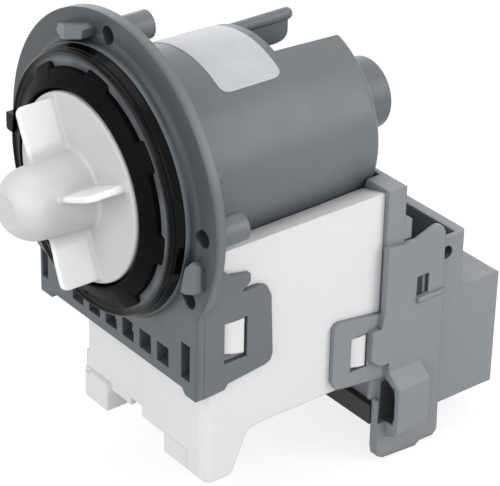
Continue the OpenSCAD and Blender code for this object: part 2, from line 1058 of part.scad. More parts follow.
module socket_shell() {
    difference() {
        union() {
            block([0, wall_y, -shell_drop], [conn_face, socket_rear, -rim_drop]);
            translate([0, 0, -rim_drop - 3.7])
                linear_extrude(3.7)
                    rim_outline();
        }
        block([shell_t, post_rear, floor_z + 2], [conn_face - shell_t, socket_rear - shell_t, 0]);
        block([shell_t, wall_y + shell_t, -90], [conn_face - shell_t, socket_rear - shell_t, floor_z]);
        block([-1, wall_y - 1, -50], [conn_face - shell_t, post_rear - shell_t, -10]);
        rod_y(barrel_r + 0.5, wall_y - 1, barrel_end + 1);
        for (x = blade_x)
            block([x - 0.4, blade_y, floor_z - 1], [x + 0.4, blade_y + 6.3, floor_z + 3]);
        translate([conn_face + 1, 85.4, -33.5])
            rotate([0, -90, 0])
                cylinder(r = 2, h = 4, $fn = 32);
    }
}

module rear_box() {
    difference() {
        block([12, socket_rear - 1, -shell_drop], [conn_face, rear_box_end, -rear_box_drop]);
        block(
            [12 + shell_t, socket_rear, -90],
            [conn_face - shell_t, rear_box_end - shell_t, -rear_box_drop - shell_t]
        );
    }
}

module clip_face() {
    slab_x(conn_face - 0.4, plate_face)
        difference() {
            polygon([
                [wall_y - 0.7, -24],
                [73, -25.3],
                [79.3, -23.2],
                [80.7, -23],
                [82.1, -23.6],
                [83, -25.4],
                [83.3, -43.4],
                [83.8, -60.8],
                [wall_y - 0.5, -60.8],
                [wall_y - 2.2, -60.2],
                [wall_y - 4.9, -58],
                [wall_y - 4.9, -48.6],
                [wall_y - 1.7, -48.9],
                [wall_y - 0.9, -44.4]
            ]);
            rect([73.6, -42.5], [77.8, -36.5]);
        }
    slab_x(conn_face - 1, conn_face + 0.6)
        rect([76.5, -43.6], [77.5, -37]);
    slab_x(conn_face, conn_face + 2.4)
        polygon([[73.7, -42.7], [83.5, -42.9], [83.5, -44.1], [73.7, -44.5]]);
}

module rear_clip() {
    slab_x(box_right + fit, conn_face)
        difference() {
            polygon([
                [wall_y + 1, -45.1],
                [48, -42.8],
                [46.7, -43.2],
                [46, -44.4],
                [46, -60.8],
                [47.6, -63.6],
                [52.2, -64.4],
                [wall_y + 1, -65.9]
            ]);
            rect([52.3, -59.9], [58.2, -49.3]);
        }
    slab_x(-box_left - fit - clip_t, -box_left - fit)
        difference() {
            polygon([
                [wall_y + shell_t, -40],
                [47.3, -42.9],
                [45.2, -44.4],
                [45.2, -60.4],
                [47.4, -63.7],
                [wall_y + shell_t, -67]
            ]);
            rect([52.3, -59.9], [58.2, -49.3]);
        }
    block([-box_left - fit - clip_t, wall_y, -67], [-18, wall_y + shell_t, -40]);
}

module latch_plate() {
    slab_x(box_right + fit - 0.6, box_right + fit + 0.5)
        polygon([[60.6, -box_floor - 0.2], [60.7, -72.2], [66, -72.6], [66, -box_floor - 0.2]]);
    slab_x(box_right + fit, box_right + fit + 0.5)
        polygon([[60.6, -64.4], [60.6, -box_floor - 0.8], [66, -box_floor - 0.8], [66, -62]]);
    slab_x(box_right + fit, plate_face)
        polygon([
            [62, -72.4],
            [62, -plate_drop + 4.6],
            [62.5, -plate_drop + 2],
            [64.4, -plate_drop + 0.9],
            [76.5, -plate_drop],
            [78, -plate_drop + 1.2],
            [83, -plate_drop + 1.1],
            [84.5, -plate_drop + 2.7],
            [83.8, -59.4],
            [65, -59.4],
            [65, -72.4]
        ]);
}

module hood() {
    out = box_right + hood_out;
    difference() {
        slab_y(65.1, 76.8)
            polygon([
                [conn_face, -62.6],
                [out, -67.6],
                [out, -81.4],
                [out - 1.2, -83.2],
                [plate_face, -84.6],
                [conn_face, -84.6]
            ]);
        hood_opening();
    }
}

// dark opening in the front of the hood, and the slope in the plate that leads into it
module hood_opening() {
    out = box_right + hood_out;
    slab_y(63, 75)
        polygon([
            [box_right + fit + 0.5, -66],
            [conn_face, -66],
            [out - 3.2, -67.8],
            [out - 1.9, -69.6],
            [out - 1.5, -71.6],
            [out - 1.5, -77.8],
            [out - 2.6, -79.6],
            [box_right + fit + 0.5, -79.6]
        ]);
    translate([0, 0, -79.6])
        linear_extrude(7.4)
            polygon([
                [plate_face + 0.1, 61.9],
                [plate_face + 0.1, 65.5],
                [box_right + fit + 0.5, 65.5],
                [box_right + fit + 0.5, 63.8]
            ]);
}

module connector_housing() {
    color(light_grey)
        difference() {
            union() {
                back_wall();
                post();
                socket_shell();
                rear_box();
                clip_face();
                rear_clip();
                latch_plate();
                hood();
            }
            for (x = blade_x)
                translate([x, 0, wire_z])
                    rod_y(wire_r + fit, wall_y - eps, wall_y + shell_t + eps);
            hood_opening();
            block([-30, bar_front - fit, -84], [box_right + fit, bar_rear + fit, bar_top + fit]);
        }
}

// blank rating label, laid round the barrel, with round corners
module label() {
    label_t = 0.25;
    front = 22.8;
    rear = 42.4;
    low_edge = 54;
    top_edge = 140;
    front_r = barrel_r - (barrel_r - step_r) * front / step_y + 0.02;
    rear_lift = barrel_r - (barrel_r - step_r) * rear / step_y + 0.02;
    half_w = front_r * sin((top_edge - low_edge) / 2);
    color([0.82, 0.82, 0.84])
        intersection() {
            turned()
                polygon([[front_r, front], [front_r + label_t, front], [rear_lift + label_t, rear], [rear_lift, rear]]);
            at_angle((low_edge + top_edge) / 2)
                slab_x(18, 40)
                    polygon(round_corners([front + 0.1, -half_w], [rear - 0.1, half_w], 2.5));
        }
}

module shaft() {
    color(steel)
        rod_y(shaft_r, shaft_front, shaft_rear);
}

module rotor_magnet() {
    color([0.2, 0.2, 0.21])
        tube_y(magnet_r, shaft_r, magnet_y, magnet_y + magnet_len);
}

module rotor_sleeve() {
    color(steel)
        turned()
            polygon([
                [shaft_r, magnet_y - sleeve_t],
                [magnet_r + sleeve_t, magnet_y - sleeve_t],
                [magnet_r + sleeve_t, magnet_y + magnet_len + sleeve_t],
                [shaft_r, magnet_y + magnet_len + sleeve_t],
                [shaft_r, magnet_y + magnet_len],
                [magnet_r, magnet_y + magnet_len],
                [magnet_r, magnet_y],
                [shaft_r, magnet_y]
            ]);
}

module front_washer() {
    color(white)
        tube_y(shaft_r + 3, shaft_r, bush_front_y + bush_len + 0.4, bush_front_y + bush_len + 0.4 + washer_t);
}

module rear_washer() {
    color(white)
        tube_y(shaft_r + 3, shaft_r, bush_rear_y - 0.4 - washer_t, bush_rear_y - 0.4);
}

module drive_dog() {
    color(black)
        difference() {
            union() {
                rod_y(dog_hub_r, dog_front, dog_rear);
                intersection() {
                    rod_y(cavity_r - 0.4, dog_front, dog_rear);
                    slab_y(dog_front, dog_rear)
                        sector(-dog_angle / 2, dog_angle / 2, 10);
                }
            }
            rod_y(shaft_r, dog_front - eps, dog_rear + eps);
        }
}

module blade() {
    root = hub_r - 2;
    round_r = 2;
    tip = -disc_front - blade_h;
    translate([0, 0, -blade_t / 2])
        linear_extrude(blade_t)
            union() {
                rect([root, tip + 0.6], [blade_r - round_r, -disc_front + 0.4]);
                rect([root, tip + 0.6 + round_r], [blade_r, -disc_front + 0.4]);
                translate([blade_r - round_r, tip + 0.6 + round_r])
                    circle(r = round_r, $fn = 32);
            }
}

module hub_outline() {
    union() {
        polygon([
            [0, -disc_front + 0.4],
            [hub_r, -disc_front + 0.4],
            [hub_r, -disc_front],
            [hub_r - 0.9, hub_tip + 8],
            [hub_r - 2, hub_tip + 4.2],
            [hub_r - 3.8, hub_tip + 1.6],
            [hub_r - 6.6, hub_tip + 0.3],
            [hub_r - 7.4, hub_tip],
            [0, hub_tip]
        ]);
        difference() {
            rect([hub_r - 1, -disc_front - 1.6], [hub_r + 1.6, -disc_front + 0.4]);
            translate([hub_r + 1.6, -disc_front - 1.6])
                circle(r = 1.6, $fn = 32);
        }
    }
}

module impeller() {
    color(white)
        union() {
            difference() {
                union() {
                    rod_y(disc_r, -disc_front, disc_back);
                    turned()
                        hub_outline();
                    for (i = [0 : blade_count - 1])
                        at_angle(blade_turn + i * 360 / blade_count)
                            blade();
                }
                rod_y(cavity_r, cavity_front, disc_back + eps);
                rod_y(plug_r, disc_back - plug_t, disc_back + eps);
                rod_y(shaft_r + running, shaft_front - 0.5, 0);
            }
            intersection() {
                tube_y(cavity_r + 0.6, dog_hub_r + 0.4, cavity_front - 0.4, disc_back - plug_t);
                slab_y(cavity_front - 0.4, disc_back - plug_t)
                    sector(180 - dog_angle / 2, 180 + dog_angle / 2, cavity_r + 4.8);
            }
        }
}

module hub_plug() {
    color(white)
        tube_y(plug_r, shaft_r + running, disc_back - plug_t, disc_back);
}

motor_housing();
seal_ring();
collar_ring();
front_cover();
can_o_ring();
rotor_can();
front_bearing();
rear_bearing();
rear_bearing_cup();
stator_core();
core_strap();
bobbin_left();
bobbin_right();
coil_left();
coil_right();
thermal_protector();
lead_wires();
terminal_blades();
connector_housing();
label();
shaft();
rotor_magnet();
rotor_sleeve();
front_washer();
rear_washer();
drive_dog();
impeller();
hub_plug();
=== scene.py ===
# Washer drain pump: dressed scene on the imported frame, metres, +Z up.
import json
import math
import bpy
import bmesh
from mathutils import Matrix, Vector


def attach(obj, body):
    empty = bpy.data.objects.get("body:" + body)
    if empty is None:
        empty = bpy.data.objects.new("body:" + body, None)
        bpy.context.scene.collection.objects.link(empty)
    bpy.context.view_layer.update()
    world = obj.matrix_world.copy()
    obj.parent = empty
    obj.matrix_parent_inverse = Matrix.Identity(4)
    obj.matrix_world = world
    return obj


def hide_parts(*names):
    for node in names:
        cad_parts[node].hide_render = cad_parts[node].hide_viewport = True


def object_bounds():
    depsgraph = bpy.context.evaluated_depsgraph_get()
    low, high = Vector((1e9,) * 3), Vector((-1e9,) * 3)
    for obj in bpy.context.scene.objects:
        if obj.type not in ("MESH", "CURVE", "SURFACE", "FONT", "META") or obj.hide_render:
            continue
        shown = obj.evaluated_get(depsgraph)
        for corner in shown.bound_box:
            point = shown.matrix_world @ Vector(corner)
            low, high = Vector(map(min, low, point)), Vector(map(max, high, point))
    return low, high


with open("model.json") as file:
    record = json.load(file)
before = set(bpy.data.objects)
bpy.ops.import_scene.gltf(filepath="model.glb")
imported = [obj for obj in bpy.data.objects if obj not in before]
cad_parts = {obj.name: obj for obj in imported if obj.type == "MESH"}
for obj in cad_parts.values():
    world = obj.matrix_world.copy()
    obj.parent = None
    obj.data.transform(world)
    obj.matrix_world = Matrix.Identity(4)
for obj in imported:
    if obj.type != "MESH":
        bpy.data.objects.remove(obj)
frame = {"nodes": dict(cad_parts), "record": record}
cad_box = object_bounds()
NODES = frame["nodes"]
MM = 0.001

# Camera, fitted to the photograph: angles in degrees, lens and sensor in mm, the rest in metres
CAM_AZ = 51.325
CAM_EL = 29.395
CAM_ROLL = 1.285
CAM_LENS = 172.8
CAM_SENSOR = 36
CAM_NEAR = 0.01
CAM_OFFSET = Vector((-0.0361, 0.0168, -0.6164))

# Sizes that the part's source gives, in mm, and the blades' turn in degrees
COLLAR_R = 36.6
COLLAR_H = 2.6
RING_R = 33
RING_FRONT = 7
NOTCH_R = 31
TEETH = 8
COVER_R = 28
DISC_R = 25.6
DISC_FRONT = 10.2
DISC_T = 2.2
HUB_R = 10.6
HUB_TIP = -32
BLADE_R = 24.2
BLADE_H = 12.1
BLADE_T = 1.7
BLADE_TURN = 24
BLADES = 4
STACK_MID = 31

# Sizes of the scene's own pieces, in mm, and the teeth's angles in degrees
LIP_R = 31.1
RING_REAR = 1.2
LUG_R = 35.9
LUG_LOW, LUG_HIGH = 1.8, 7
LUG_FRONT, LUG_REAR = -8.0, -5.0
TOOTH_TURN = 9
TOOTH_HALF = 7.2
TOOTH_FLANK = 0.9
BLADE_INNER = 6
BLADE_REAR = -8.6
BLADE_CORNER = 1.9
BLADE_TAPER = 0.18
LEG_X, LEG_Y = 6.4, 13.4
WIRE_BUILD = 4.4
WIRE_PITCH = 0.75
WIRE_LOW, WIRE_HIGH = -63.0, -34.2
MERGE = 0.001

# Stage: the floor's half width and the reach over which its glow rises, in metres, and its strengths
FLOOR_HALF = 4.0
GLOW_NEAR, GLOW_FAR = 0.35, 0.75
GLOW_LOW, GLOW_FULL = 0.78, 1.0
SOFT_WORLD = 0.42
LAMP_AIM = Vector((0, 0.035, -0.02))

# Lamps: name, direction, distance, width, height in metres, and watts
LAMPS = (
    ("side_light", (0.74, 0.54, 0.5), 0.9, 0.42, 0.7, 3.4),
    ("key_light", (1, -0.55, 0.45), 1.1, 0.8, 0.8, 3.6),
    ("front_light", (0.1, -1, 0.5), 1.1, 0.9, 0.9, 5.9),
    ("top_light", (-0.2, 0.1, 1), 1.0, 0.8, 0.8, 3.0),
    ("back_light", (-0.9, 0.9, 0.4), 1.1, 0.8, 0.8, 2.0),
)


def lin(r, g, b):
    """sRGB bytes as linear colour."""
    shares = [v / 255 for v in (r, g, b)]
    return tuple(v / 12.92 if v <= 10 / 255 else ((v + 0.055) / 1.055) ** 2.4 for v in shares) + (1,)


def scaled(color, k):
    """The colour times k, with its alpha left at one."""
    return tuple(min(1, v * k) for v in color[:3]) + (1,)


# Materials

class Nodes:
    """Short way to build one material's node tree. Sizes are in mm."""

    def __init__(self, name):
        self.mat = bpy.data.materials.new(name)
        self.mat.use_nodes = True
        self.tree = self.mat.node_tree
        self.bsdf = self.tree.nodes["Principled BSDF"]
        self.coord = self.add("ShaderNodeTexCoord").outputs["Object"]

    def add(self, kind, **props):
        node = self.tree.nodes.new(kind)
        for key, value in props.items():
            setattr(node, key, value)
        return node

    def link(self, a, b):
        self.tree.links.new(a, b)

    def noise(self, size, detail=3, rough=0.5, stretch=(1, 1, 1), distortion=0):
        mapping = self.add("ShaderNodeMapping")
        mapping.inputs["Scale"].default_value = tuple(s / (size * MM) for s in stretch)
        self.link(self.coord, mapping.inputs["Vector"])
        tex = self.add("ShaderNodeTexNoise")
        tex.inputs["Scale"].default_value = 1
        tex.inputs["Detail"].default_value = detail
        tex.inputs["Roughness"].default_value = rough
        tex.inputs["Distortion"].default_value = distortion
        self.link(mapping.outputs["Vector"], tex.inputs["Vector"])
        return tex.outputs["Fac"]

    def bands(self, pitch, axis, distortion=0.0):
        """Even bands across an axis. At scale 1 one turn of the wave texture takes pi / 10."""
        tex = self.add("ShaderNodeTexWave", wave_type="BANDS", bands_direction=axis, wave_profile="SIN")
        tex.inputs["Scale"].default_value = math.pi / 10 / (pitch * MM)
        tex.inputs["Distortion"].default_value = distortion
        self.link(self.coord, tex.inputs["Vector"])
        return tex.outputs["Fac"]

    def span(self, value, low, high, lo_in=0.0, hi_in=1.0):
        """Value from the range lo_in to hi_in brought to the range low to high, clamped."""
        r = self.add("ShaderNodeMapRange")
        for key, v in (("From Min", lo_in), ("From Max", hi_in), ("To Min", low), ("To Max", high)):
            r.inputs[key].default_value = v
        self.link(value, r.inputs["Value"])
        return r.outputs["Result"]

    def rise(self, value, start, end):
        """Zero up to start and one from end on."""
        return self.span(value, 0, 1, start * MM, end * MM)

    def fall(self, value, start, end):
        """One up to start and zero from end on."""
        return self.span(value, 1, 0, start * MM, end * MM)

    def math(self, op, a, b):
        m = self.add("ShaderNodeMath", operation=op)
        for sock, v in zip(m.inputs, (a, b)):
            if isinstance(v, (int, float)):
                sock.default_value = v
            else:
                self.link(v, sock)
        return m.outputs[0]

    def product(self, first, *others):
        for other in others:
            first = self.math("MULTIPLY", first, other)
        return first

    def mix(self, fac, a, b):
        m = self.add("ShaderNodeMix", data_type="RGBA")
        self.link(fac, m.inputs["Factor"])
        for key, v in (("A", a), ("B", b)):
            sock = [s for s in m.inputs if s.name == key and s.type == "RGBA"][0]
            if isinstance(v, tuple):
                sock.default_value = v
            else:
                self.link(v, sock)
        return [s for s in m.outputs if s.type == "RGBA"][0]

    def bump(self, height, depth, under=None):
        b = self.add("ShaderNodeBump")
        b.inputs["Strength"].default_value = 1
        b.inputs["Distance"].default_value = depth * MM
        self.link(height, b.inputs["Height"])
        if under is not None:
            self.link(under, b.inputs["Normal"])
        return b.outputs["Normal"]

    def edge(self, radius):
        """Normal that runs round sharp edges, as on a moulding with eased edges."""
        b = self.add("ShaderNodeBevel", samples=6)
        b.inputs["Radius"].default_value = radius * MM
        return b.outputs["Normal"]

    def crevice(self, reach, low, high):
        """One in the open, zero deep in a slot or hole where shade falls; it sets how far painted shade darkens
        the colour there.
        """
        a = self.add("ShaderNodeAmbientOcclusion", samples=8)
        a.inputs["Distance"].default_value = reach * MM
        return self.span(a.outputs["AO"], 0, 1, low, high)

    def place(self):
        """The three coordinates of the point."""
        split = self.add("ShaderNodeSeparateXYZ")
        self.link(self.coord, split.inputs[0])
        return split.outputs

    def polar(self):
        """Distance from the pump axis and position along it."""
        x, y, z = self.place()
        square = self.math("ADD", self.math("MULTIPLY", x, x), self.math("MULTIPLY", z, z))
        return self.math("SQRT", square, 0), y

    def towards(self, degrees):
        """Distance from the pump axis in one direction across it, counted from +X up."""
        x, _, z = self.place()
        a = math.radians(degrees)
        return self.math("ADD", self.math("MULTIPLY", x, math.cos(a)), self.math("MULTIPLY", z, math.sin(a)))

    def within(self, low, high, soft):
        """One inside a box, zero outside. soft is the width of the change, one number or one per axis."""
        soft = soft if isinstance(soft, tuple) else (soft,) * 3
        sides = []
        for value, start, end, s in zip(self.place(), low, high, soft):
            sides.append(self.rise(value, start - s / 2, start + s / 2))
            sides.append(self.fall(value, end - s / 2, end + s / 2))
        return self.product(*sides)

    def surface(self, color, rough, normal, **fixed):
        for key, v in (("Base Color", color), ("Roughness", rough), ("Normal", normal)):
            self.link(v, self.bsdf.inputs[key])
        for key, v in fixed.items():
            self.bsdf.inputs[key.replace("_", " ")].default_value = v
        return self.mat


def moulded_plastic(name, color, rough=0.45, shade=0.05, grain=0.35, depth=0.012, spec=0.5,
                    ease=0.4, crevice_shade=0.45, reach=7, scuffed=1, dark=(), hub_shade=None, collar_shade=None):
    """Satin moulded plastic: slow flow marks, fine mottle, scuffs in the gloss, a spark-eroded
    grain, eased edges and painted shade. crevice_shade is the share of the colour left deep in a slot
    as painted shade, reach how wide a slot may be for it. dark lists boxes of painted shade with the
    colour's share inside them and the width of the change. hub_shade is painted shade round the
    impeller's hub and over its disc: the hub's radius, the disc's front and the colour's share.
    collar_shade is painted shade round the foot of the collar: two radii and the colour's share."""
    n = Nodes(name)
    flow = n.noise(26, detail=3, rough=0.55, stretch=(1, 0.35, 1), distortion=0.6)
    mottle = n.noise(2.6, detail=4, rough=0.6)
    base = n.mix(n.span(flow, 0, 1, 0.3, 0.7), scaled(color, 1 - shade), scaled(color, 1 + shade))
    tone = n.mix(n.span(mottle, 0, 0.35, 0.42, 0.7), base, scaled(color, 1 - 1.6 * shade))
    scuff = n.noise(7, detail=5, rough=0.65, stretch=(1, 1, 0.3))
    gloss = n.span(scuff, rough - 0.06 * scuffed, rough + 0.07 * scuffed, 0.3, 0.7)
    # Painted shade: the colour darkens inside each listed box.
    for low, high, share, soft in dark:
        tone = n.mix(n.within(low, high, soft), tone, scaled(color, share))
    # Painted shade on the impeller: the colour darkens on the hub's flank and over the disc's face and blade
    # roots, where the blades and hub shade them.
    if hub_shade:
        hub_r, disc_front, share = hub_shade
        r, y = n.polar()
        hub = n.product(n.fall(r, hub_r - 0.3, hub_r + 3),
                        n.span(y, 0.85, 1, (HUB_TIP + 3) * MM, (HUB_TIP + 10) * MM))
        film = n.math("MAXIMUM", hub, n.rise(y, disc_front - 1.8, disc_front - 0.6))
        tone = n.mix(film, tone, scaled(color, share))
    # Painted shade: a darker ring round the foot of the collar on the flange.
    if collar_shade:
        inner, outer, share = collar_shade
        r, y = n.polar()
        ring = n.product(n.rise(r, inner - 0.5, inner), n.fall(r, outer, outer + 1.4),
                         n.rise(y, -2.2, -1.4), n.fall(y, 0.6, 1.2))
        tone = n.mix(ring, tone, scaled(color, share))
    # Painted shade: the colour darkens where other surfaces stand close round the point, most deep in a slot or
    # hole.
    tone = n.mix(n.crevice(reach, 0.08, 0.75), scaled(color, crevice_shade), tone)
    fine = n.bump(n.noise(grain, detail=2), depth, n.edge(ease) if ease else None)
    wave = n.bump(n.noise(14, detail=2, rough=0.4), 0.03, fine)
    return n.surface(tone, gloss, wave, Specular_IOR_Level=spec)


def rubber(name, color, rim):
    """Dark moulded rubber with a waxy bloom and a faint moulding grain. rim gives the radii
    between which the front lip gets a painted highlight, pale on the side towards +X and up."""
    n = Nodes(name)
    bloom = n.span(n.noise(5, detail=5, rough=0.6), 0, 1, 0.42, 0.75)
    tone = n.mix(bloom, color, scaled(color, 1.6))
    inner, outer = rim
    r, y = n.polar()
    # Painted highlight: the front lip is made pale between the rim's radii, on the side towards +X and up,
    # broken by noise.
    lip_highlight = n.product(n.rise(r, inner, inner + 0.4), n.fall(r, outer - 2.2, outer), n.fall(y, -5.8, -5.2),
                     n.rise(n.towards(38), -8, 8), n.span(n.noise(11), 0.6, 1, 0.35, 0.6))
    tone = n.mix(lip_highlight, tone, lin(108, 111, 115))
    gloss = n.span(n.noise(3.2, detail=4, rough=0.6), 0.14, 0.24, 0.3, 0.7)
    wave = n.bump(n.noise(9, detail=2, rough=0.4), 0.1, n.edge(0.25))
    return n.surface(tone, gloss, n.bump(n.noise(0.6, detail=2), 0.003, wave), Specular_IOR_Level=0.1)


def rolled_metal(name, color, rough, stretch=(1, 1, 0.08), depth=0.004, shade=0.12, metal=1.0):
    """Metal with drawn or rolled streaks and stains."""
    n = Nodes(name)
    streak = n.noise(0.5, rough=0.6, stretch=stretch)
    stain = n.noise(9, detail=4, rough=0.6)
    base = n.mix(n.span(stain, 0, 1, 0.35, 0.7), scaled(color, 1 - shade), scaled(color, 1 + shade * 0.6))
    gloss = n.span(streak, rough - 0.1, rough + 0.12, 0.25, 0.75)
    return n.surface(base, gloss, n.bump(streak, depth), Metallic=metal)


def laminated(name, color):
    """Stack of 0.5 mm core sheets lying across the pump axis."""
    n = Nodes(name)
    sheet = n.bands(0.5, "Y")
    rust = n.noise(3, detail=5, rough=0.65)
    base = n.mix(n.span(rust, 0, 1, 0.55, 0.75), color, lin(112, 84, 62))
    edge = n.mix(n.span(sheet, 0, 0.5, 0.35, 0.0), base, lin(48, 48, 50))
    return n.surface(edge, n.span(rust, 0.35, 0.6), n.bump(sheet, 0.05), Metallic=0.8)


def enamelled_wire(name, color):
    """Varnished copper wire in even turns, darker in the grooves between them."""
    n = Nodes(name)
    wire = n.bands(0.6, "Z", 0.4)
    tint = n.noise(4)
    base = n.mix(n.span(tint, 0, 1, 0.35, 0.7), scaled(color, 0.85), scaled(color, 1.15))
    groove = n.mix(n.span(wire, 1, 0, 0.0, 0.25), base, scaled(color, 0.35))
    return n.surface(groove, n.span(tint, 0.22, 0.34), n.bump(wire, 0.08), Metallic=0.85, Coat_Weight=0.3)


def foil_label(name, color):
    """Bare silver-grey film: brushed along its length, a little wavy from the paste under it."""
    n = Nodes(name)
    brush = n.noise(0.25, detail=2, stretch=(1, 0.04, 1))
    cloud = n.noise(6)
    base = n.mix(n.span(cloud, 0, 1, 0.35, 0.7), scaled(color, 0.95), scaled(color, 1.04))
    tone = n.mix(n.span(brush, 0, 0.25, 0.4, 0.8), base, scaled(color, 0.86))
    normal = n.bump(n.noise(3.5, detail=2, rough=0.4), 0.02, n.bump(brush, 0.002))
    return n.surface(tone, n.span(cloud, 0.32, 0.44), normal, Specular_IOR_Level=0.5)


# Painted shade, in mm: boxes where the colour is darkened to stand in for shade inside the socket and hood, in
# the side hole and windows, behind the clips and vents, on the flange's front face and skirt round the seal and
# in the screw holes. Each gives low corner, high corner, share of the colour left, width of the change
SOCKET = ((2.0, 64.0, -90), (35.6, 89.6, -29.5), 0.1, 0.4)
HOOD = ((36.4, 64.6, -79.8), (41.9, 75.5, -67.9), 0.16, 0.4)
SIDE_HOLE = ((34, 83, -36), (37.35, 87.6, -31), 0.15, 0.3)
SIDE_WINDOW = (((34, 73.4, -42.6), (38.9, 76.4, -36.3), 0.12, 0.2),
               ((34, 77.6, -42.6), (38.9, 78, -36.3), 0.12, 0.2))
FRONT_CLIP = ((35, 8.8, -41.8), (36.25, 16.8, -28.8), 0.12, 0.2)
REAR_CLIP = ((35, 52, -60.2), (36.25, 58.6, -49), 0.2, 0.2)
BEHIND_VENTS = ((-19.5, 3.6, -46), (35.2, 6.6, -33), 0.1, 0.4)
FLANGE_FACE = ((-60, -1.6, -26), (60, 0.8, 60), 0.5, (1, 1.6, 14))
SKIRT_FACE = ((-60, -1.6, -70), (60, 0.8, -26), 0.76, (1, 1.6, 14))
SCREW_HOLES = tuple(((x - 2.45, 0.5, z - 2.45), (x + 2.45, 11.6, z + 2.45), 0.2, (0.1, 0.5, 0.1))
                    for x, z in ((0, 40), (40, 0), (34.64, -20)))

# Painted shade in the plastics: each darkens in crevices, and some also in the boxes listed above, round the
# impeller's hub and disc, or round the collar's foot.
MAT = {
    "housing_grey": moulded_plastic(
        "housing_grey", lin(106, 111, 114), rough=0.34, shade=0.04, grain=0.4, depth=0.006, spec=0.28,
        ease=0.45, crevice_shade=0.25, reach=11, dark=(FLANGE_FACE, SKIRT_FACE) + SCREW_HOLES, collar_shade=(36.4, 37.0, 0.17)),
    "connector_grey": moulded_plastic(
        "connector_grey", lin(138, 141, 144), rough=0.44, shade=0.035, grain=0.35, depth=0.008, spec=0.3,
        ease=0.8, crevice_shade=0.35, dark=(SOCKET, HOOD, SIDE_HOLE) + SIDE_WINDOW),
    "white_plastic": moulded_plastic(
        "white_plastic", lin(226, 226, 227), rough=0.42, shade=0.014, grain=0.4, depth=0.006,
        ease=0.6, crevice_shade=0.7, dark=(BEHIND_VENTS, FRONT_CLIP, REAR_CLIP)),
    "impeller_white": moulded_plastic(
        "impeller_white", lin(245, 245, 245), rough=0.3, shade=0.006, grain=0.9, depth=0.002, spec=0.35,
        ease=0, crevice_shade=0.5, reach=14, scuffed=0.2, hub_shade=(HUB_R, -DISC_FRONT, 0.62)),
    "black_plastic": moulded_plastic(
        "black_plastic", lin(15, 15, 16), rough=0.4, shade=0.12, grain=0.4, depth=0.006, spec=0.025,
        ease=0.35, crevice_shade=0.4),
    "black_steel": moulded_plastic(
        "black_steel", lin(50, 51, 50), rough=0.45, shade=0.12, grain=0.5, depth=0.02, spec=0.25, crevice_shade=0.5),
    "can_plastic": moulded_plastic("can_plastic", lin(44, 44, 46), rough=0.4, shade=0.08),
    "seal_rubber": rubber("seal_rubber", lin(6, 7, 9), (31.0, 35.3)),
    "bearing_bronze": rolled_metal("bearing_bronze", lin(176, 138, 84), 0.42, (1, 1, 1), depth=0.01),
    "blade_brass": rolled_metal("blade_brass", lin(206, 178, 112), 0.28),
    "shaft_steel": rolled_metal("shaft_steel", lin(186, 187, 190), 0.22, (1, 0.1, 1)),
    "magnet_ferrite": rolled_metal(
        "magnet_ferrite", lin(58, 58, 61), 0.5, (1, 1, 1), depth=0.01, shade=0.15, metal=0.3),
    "core_steel": laminated("core_steel", lin(120, 121, 124)),
    "copper_wire": enamelled_wire("copper_wire", lin(168, 84, 44)),
    "label_film": foil_label("label_film", lin(184, 186, 189)),
}
SLOT_OF = {s["node"]: s["material_slot"] for s in frame["record"]["subparts"]}


def dress(obj, slot):
    obj.data.materials.clear()
    obj.data.materials.append(MAT[slot])


for node, obj in NODES.items():
    if obj.material_slots:
        for s in obj.material_slots:
            s.material = MAT[SLOT_OF[node]]
    else:
        obj.data.materials.append(MAT[SLOT_OF[node]])


# Helpers for pieces

def piece(name, mesh, body, slot, *nodes):
    """Mesh as an object that rides a body and stands for the named nodes."""
    obj = bpy.data.objects.new(name, mesh)
    bpy.context.scene.collection.objects.link(obj)
    dress(obj, slot)
    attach(obj, body)
    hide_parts(*nodes)
    return obj


def settle(obj):
    """Applies every modifier on the object."""
    bpy.context.view_layer.update()
    graph = bpy.context.evaluated_depsgraph_get()
    mesh = bpy.data.meshes.new_from_object(obj.evaluated_get(graph), depsgraph=graph)
    obj.modifiers.clear()
    obj.data = mesh


def smooth(mesh, angle):
    """Smooth shading, with edges sharp from an angle in degrees on."""
    mesh.polygons.foreach_set("use_smooth", [True] * len(mesh.polygons))
    mesh.set_sharp_from_angle(angle=math.radians(angle))


def finished(bm, name, angle=180):
    """Mesh of the bmesh, with its faces turned outward."""
    bmesh.ops.recalc_face_normals(bm, faces=bm.faces)
    mesh = bpy.data.meshes.new(name)
    bm.to_mesh(mesh)
    bm.free()
    smooth(mesh, angle)
    return mesh


def around(bm, profile, a):
    """Profile of (radius, y) points in mm as vertices at one angle round the pump axis."""
    return [bm.verts.new((r * math.cos(a) * MM, y * MM, r * math.sin(a) * MM)) for r, y in profile]


def skin(bm, rings, closed=True):
    """Faces between each ring of vertices and the next one, and between the last and the first."""
    for p, q in zip(rings, rings[1:] + rings[:1]):
        for j in range(len(p) if closed else len(p) - 1):
            k = (j + 1) % len(p)
            bm.faces.new((p[j], p[k], q[k], q[j]))


def lathe(bm, profile, steps, closed=True):
    """Profile turned about the pump axis."""
    skin(bm, [around(bm, profile, 2 * math.pi * i / steps) for i in range(steps)], closed)


def prism(bm, low, high):
    """Solid between two outlines of vertices."""
    bm.faces.new(low)
    bm.faces.new(high[::-1])
    for i in range(len(low)):
        j = (i + 1) % len(low)
        bm.faces.new((low[i], high[i], high[j], low[j]))


